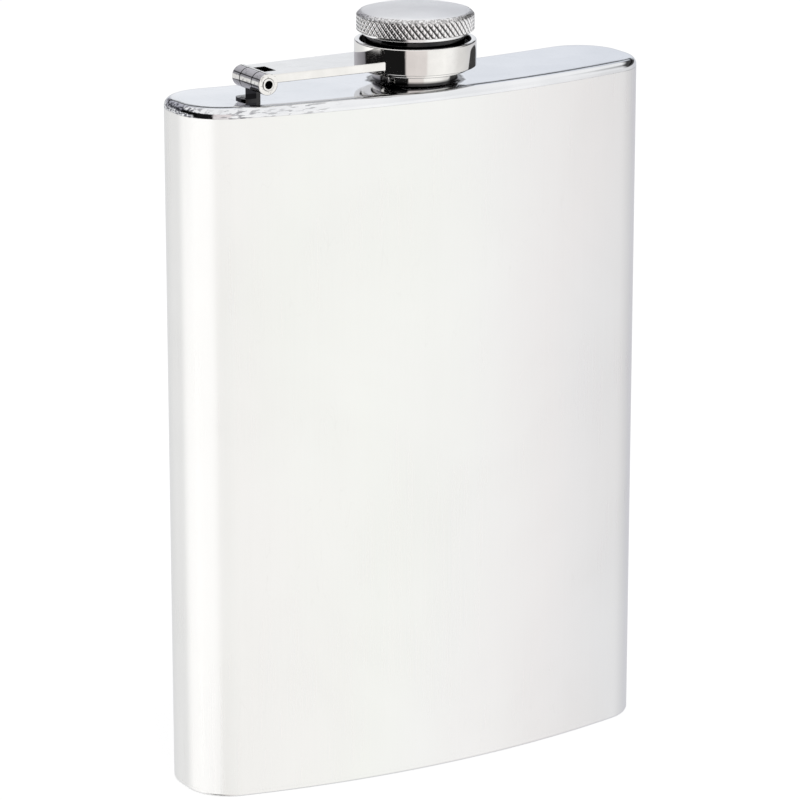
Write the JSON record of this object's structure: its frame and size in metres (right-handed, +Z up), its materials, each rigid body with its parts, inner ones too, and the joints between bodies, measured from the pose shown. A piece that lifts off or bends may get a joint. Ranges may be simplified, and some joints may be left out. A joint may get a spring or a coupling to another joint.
{
  "type": "hip flask",
  "caption": "Curved flat steel pocket flask with a threaded neck and a knurled screw cap held captive on a hinged arm.",
  "frame": {"origin": "where the neck axis meets the flat underside of the base", "axes": "+Z up along the neck axis, +X along the width away from the hinge, -Y out of the convex front face"},
  "size_m": [0.093, 0.0247, 0.1392],
  "materials": {
    "body_steel": "satin, fine upright brushing",
    "plate_steel": "semi-polished",
    "polished_steel": "polished",
    "cap_steel": "satin dome, knurled edge",
    "seal_rubber": "matt"
  },
  "bodies": {
    "flask": {"body_shell": "body_steel", "top_plate": "plate_steel", "bottom_plate": "body_steel", "neck": "polished_steel", "hinge_base": "polished_steel", "hinge_pin": "polished_steel"},
    "arm": {"cap_arm": "polished_steel", "captive_ring": "polished_steel"},
    "liner": {"cap_liner": "seal_rubber"},
    "cap": {"cap_head": "cap_steel", "cap_sleeve": "polished_steel"}
  },
  "joints": [
    {"name": "arm_swing", "type": "hinge", "parent": "flask", "child": "arm", "pos_m": [-0.0323, 0, 0.1292], "axis": [0, -1, 0], "range_deg": [0, 180]},
    {"name": "cap_lift", "type": "slide", "parent": "arm", "child": "liner", "axis": [0, 0, 1], "range_m": [0, 0.00225]},
    {"name": "cap_turn", "type": "hinge", "parent": "liner", "child": "cap", "pos_m": [0, 0, 0.13], "axis": [0, 0, 1], "range_deg": [0, 540]}
  ],
  "couplings": [
    {"joint": "cap_lift", "follows": "cap_turn", "m_per_rad": 0.00023873}
  ]
}
